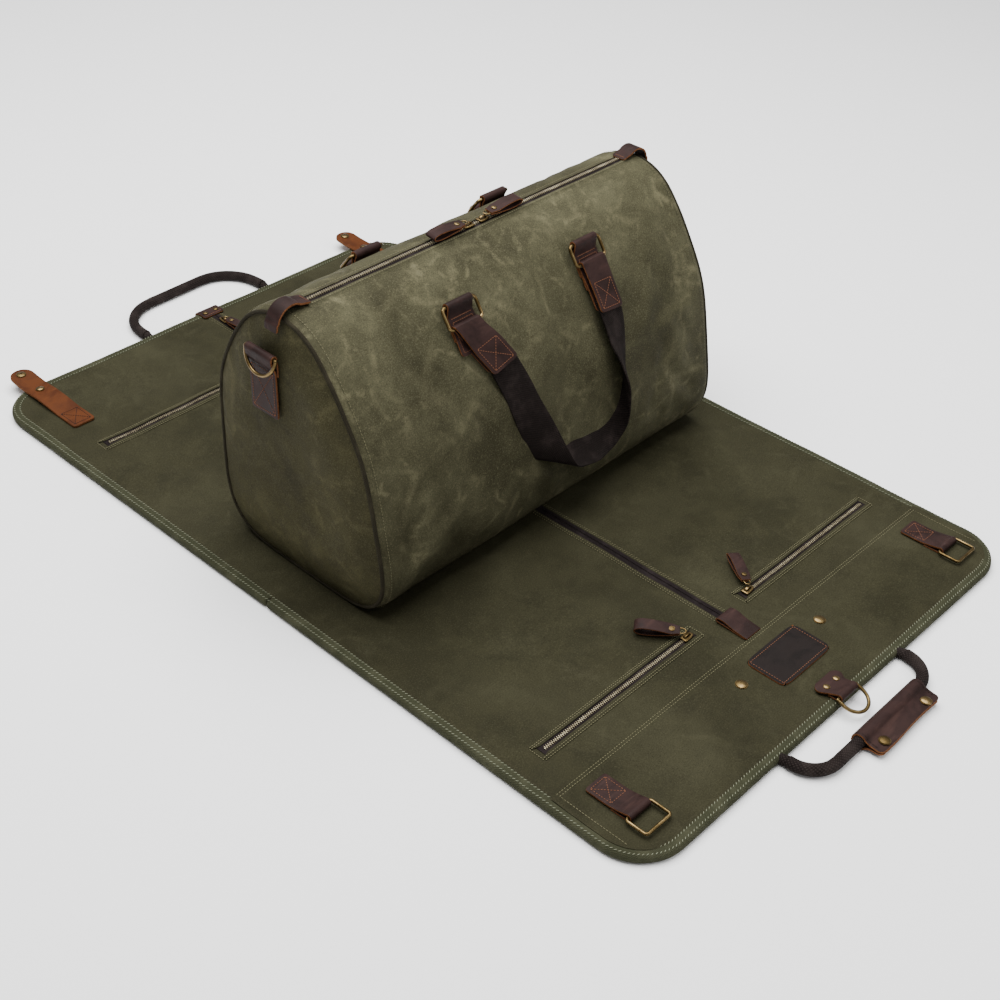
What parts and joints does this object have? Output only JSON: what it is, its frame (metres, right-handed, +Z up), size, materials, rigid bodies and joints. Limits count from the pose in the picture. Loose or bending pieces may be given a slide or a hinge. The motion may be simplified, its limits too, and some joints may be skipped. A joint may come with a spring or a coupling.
{
  "type": "weekender bag",
  "caption": "Waxed canvas duffel with twin webbing handles standing on an opened padded garment panel with two folding wings, zip pockets, straps and edge handles.",
  "frame": {"origin": "centre of the garment panel's underside, on the floor", "axes": "+X along the duffel and across the panel, +Y from the near wing with the patch to the far wing with the straps, +Z up"},
  "size_m": [0.61, 1.0975, 0.3132],
  "materials": {
    "panel_canvas": "waxed cotton canvas, dark olive, smooth",
    "duffel_canvas": "waxed cotton canvas, olive, creased and mottled",
    "binding_tape": "woven cotton binding tape with light stitching",
    "padding_foam": "thin needled felt padding",
    "lining": "plain woven cotton lining",
    "webbing": "dark brown cotton webbing",
    "zip_metal": "antique brass zip teeth on dark tape",
    "dark_leather": "dark oiled leather with raw edges",
    "tan_leather": "tan oiled leather with raw edges",
    "antique_brass": "antique brass",
    "base_board": "stiff base board",
    "piping": "dark piping"
  },
  "bodies": {
    "panel_middle": {"middle_front_canvas": "panel_canvas", "middle_back_canvas": "panel_canvas", "middle_padding": "padding_foam", "middle_binding": "binding_tape", "centre_zip_middle": "webbing"},
    "near_wing": {"near_front_canvas": "panel_canvas", "near_back_canvas": "panel_canvas", "near_padding": "padding_foam", "near_binding": "binding_tape", "near_band": "panel_canvas", "near_pocket_zips": "zip_metal", "centre_zip_near": "webbing", "centre_zip_tab": "dark_leather", "leather_patch": "dark_leather", "near_studs": "antique_brass", "near_edge_tab": "dark_leather", "corner_ring_tabs": "dark_leather"},
    "near_ring": {"near_edge_ring": "antique_brass"},
    "corner_left": {"corner_ring_left": "antique_brass"},
    "corner_right": {"corner_ring_right": "antique_brass"},
    "near_handle": {"near_handle_cord": "webbing", "handle_wrap": "dark_leather"},
    "wrap_flap": {"handle_wrap_flap": "dark_leather", "handle_wrap_snaps": "antique_brass"},
    "near_left_zip": {"near_left_slider": "antique_brass"},
    "near_right_zip": {"near_right_slider": "antique_brass"},
    "near_left_zip_pull": {"near_left_pull": "dark_leather"},
    "near_right_zip_pull": {"near_right_pull": "dark_leather"},
    "far_wing": {"far_front_canvas": "panel_canvas", "far_back_canvas": "panel_canvas", "far_padding": "padding_foam", "far_binding": "binding_tape", "far_pocket_zips": "zip_metal", "centre_zip_far": "webbing", "far_edge_tab": "dark_leather", "far_strap_bases": "tan_leather"},
    "strap_left": {"far_strap_left": "tan_leather"},
    "strap_right": {"far_strap_right": "tan_leather"},
    "far_handle": {"far_handle_cord": "webbing"},
    "far_left_zip": {"far_left_slider": "antique_brass"},
    "far_right_zip": {"far_right_slider": "antique_brass"},
    "centre_zip": {"centre_slider": "antique_brass"},
    "duffel": {"duffel_body": "duffel_canvas", "duffel_ends": "duffel_canvas", "duffel_base_board": "base_board", "duffel_lining": "lining", "duffel_piping": "piping", "top_zip": "zip_metal", "duffel_end_leathers": "dark_leather", "handle_loops": "dark_leather"},
    "top_left_zip": {"top_left_slider": "antique_brass"},
    "top_right_zip": {"top_right_slider": "antique_brass"},
    "top_left_zip_pull": {"top_left_pull": "dark_leather"},
    "top_right_zip_pull": {"top_right_pull": "dark_leather"},
    "end_left": {"end_ring_left": "antique_brass"},
    "end_right": {"end_ring_right": "antique_brass"},
    "front_rings": {"front_handle_rings": "antique_brass"},
    "front_strap": {"front_handle_strap": "webbing"},
    "rear_rings": {"rear_handle_rings": "antique_brass"},
    "rear_strap": {"rear_handle_strap": "webbing"}
  },
  "joints": [
    {"name": "near_wing_fold", "type": "hinge", "parent": "panel_middle", "child": "near_wing", "pos_m": [0, -0.1283, 0.01], "axis": [-1, 0, 0], "range_deg": [0, 80]},
    {"name": "far_wing_fold", "type": "hinge", "parent": "panel_middle", "child": "far_wing", "pos_m": [0, 0.1403, 0.01], "axis": [1, 0, 0], "range_deg": [0, 80]},
    {"name": "duffel_lift", "type": "slide", "parent": "panel_middle", "child": "duffel", "axis": [0, 0, 1], "range_m": [0, 0.3]},
    {"name": "near_handle_swing", "type": "hinge", "parent": "near_wing", "child": "near_handle", "pos_m": [0, -0.487, 0.0065], "axis": [-1, 0, 0], "range_deg": [0, 90]},
    {"name": "wrap_flap_open", "type": "hinge", "parent": "near_handle", "child": "wrap_flap", "pos_m": [0, -0.50925, 0.0065], "axis": [-1, 0, 0], "range_deg": [0, 80]},
    {"name": "near_ring_swing", "type": "hinge", "parent": "near_wing", "child": "near_ring", "pos_m": [0, -0.478, 0.0149], "axis": [-1, 0, 0], "range_deg": [-8, 60]},
    {"name": "corner_left_swing", "type": "hinge", "parent": "near_wing", "child": "corner_left", "pos_m": [0, -0.431, 0.015], "axis": [-1, 0, 0], "range_deg": [0, 140]},
    {"name": "corner_right_swing", "type": "hinge", "parent": "near_wing", "child": "corner_right", "pos_m": [0, -0.431, 0.015], "axis": [-1, 0, 0], "range_deg": [0, 140]},
    {"name": "near_left_zip_slide", "type": "slide", "parent": "near_wing", "child": "near_left_zip", "axis": [-1, 0, 0], "range_m": [0, 0.195]},
    {"name": "near_right_zip_slide", "type": "slide", "parent": "near_wing", "child": "near_right_zip", "axis": [1, 0, 0], "range_m": [0, 0.195]},
    {"name": "near_left_pull_lift", "type": "hinge", "parent": "near_left_zip", "child": "near_left_zip_pull", "pos_m": [-0.05, -0.325, 0.0163], "axis": [0.8192, 0.5736, 0], "range_deg": [0, 100]},
    {"name": "near_right_pull_lift", "type": "hinge", "parent": "near_right_zip", "child": "near_right_zip_pull", "pos_m": [0.05, -0.325, 0.0163], "axis": [0.8192, -0.5736, 0], "range_deg": [0, 100]},
    {"name": "strap_left_lift", "type": "hinge", "parent": "far_wing", "child": "strap_left", "pos_m": [0, 0.412, 0.0115], "axis": [1, 0, 0], "range_deg": [0, 120]},
    {"name": "strap_right_lift", "type": "hinge", "parent": "far_wing", "child": "strap_right", "pos_m": [0, 0.412, 0.0115], "axis": [1, 0, 0], "range_deg": [0, 120]},
    {"name": "far_handle_swing", "type": "hinge", "parent": "far_wing", "child": "far_handle", "pos_m": [0, 0.487, 0.0065], "axis": [1, 0, 0], "range_deg": [0, 90]},
    {"name": "far_left_zip_slide", "type": "slide", "parent": "far_wing", "child": "far_left_zip", "axis": [-1, 0, 0], "range_m": [0, 0.195]},
    {"name": "far_right_zip_slide", "type": "slide", "parent": "far_wing", "child": "far_right_zip", "axis": [1, 0, 0], "range_m": [0, 0.195]},
    {"name": "centre_zip_slide", "type": "slide", "parent": "far_wing", "child": "centre_zip", "axis": [0, -1, 0], "range_m": [0, 0.24]},
    {"name": "top_left_zip_slide", "type": "slide", "parent": "duffel", "child": "top_left_zip", "axis": [-1, 0, 0], "range_m": [0, 0.15]},
    {"name": "top_right_zip_slide", "type": "slide", "parent": "duffel", "child": "top_right_zip", "axis": [1, 0, 0], "range_m": [0, 0.15]},
    {"name": "top_left_pull_lift", "type": "hinge", "parent": "top_left_zip", "child": "top_left_zip_pull", "pos_m": [-0.008, 0.025, 0.3063], "axis": [0, 1, 0], "range_deg": [0, 90]},
    {"name": "top_right_pull_lift", "type": "hinge", "parent": "top_right_zip", "child": "top_right_zip_pull", "pos_m": [0.02, 0.025, 0.3063], "axis": [0, -1, 0], "range_deg": [0, 90]},
    {"name": "end_left_swing", "type": "hinge", "parent": "duffel", "child": "end_left", "pos_m": [-0.264, 0.034, 0.262], "axis": [0, 1, 0], "range_deg": [0, 90]},
    {"name": "end_right_swing", "type": "hinge", "parent": "duffel", "child": "end_right", "pos_m": [0.276, 0.034, 0.262], "axis": [0, -1, 0], "range_deg": [0, 90]},
    {"name": "front_rings_swing", "type": "hinge", "parent": "duffel", "child": "front_rings", "pos_m": [0, -0.041, 0.276], "axis": [-1, 0, 0], "range_deg": [0, 130]},
    {"name": "front_strap_swing", "type": "hinge", "parent": "front_rings", "child": "front_strap", "pos_m": [0, -0.05362, 0.25798], "axis": [-1, 0, 0], "range_deg": [0, 30]},
    {"name": "rear_rings_swing", "type": "hinge", "parent": "duffel", "child": "rear_rings", "pos_m": [0, 0.086, 0.281], "axis": [1, 0, 0], "range_deg": [0, 130]},
    {"name": "rear_strap_swing", "type": "hinge", "parent": "rear_rings", "child": "rear_strap", "pos_m": [0, 0.09954, 0.26366], "axis": [1, 0, 0], "range_deg": [0, 30]}
  ]
}
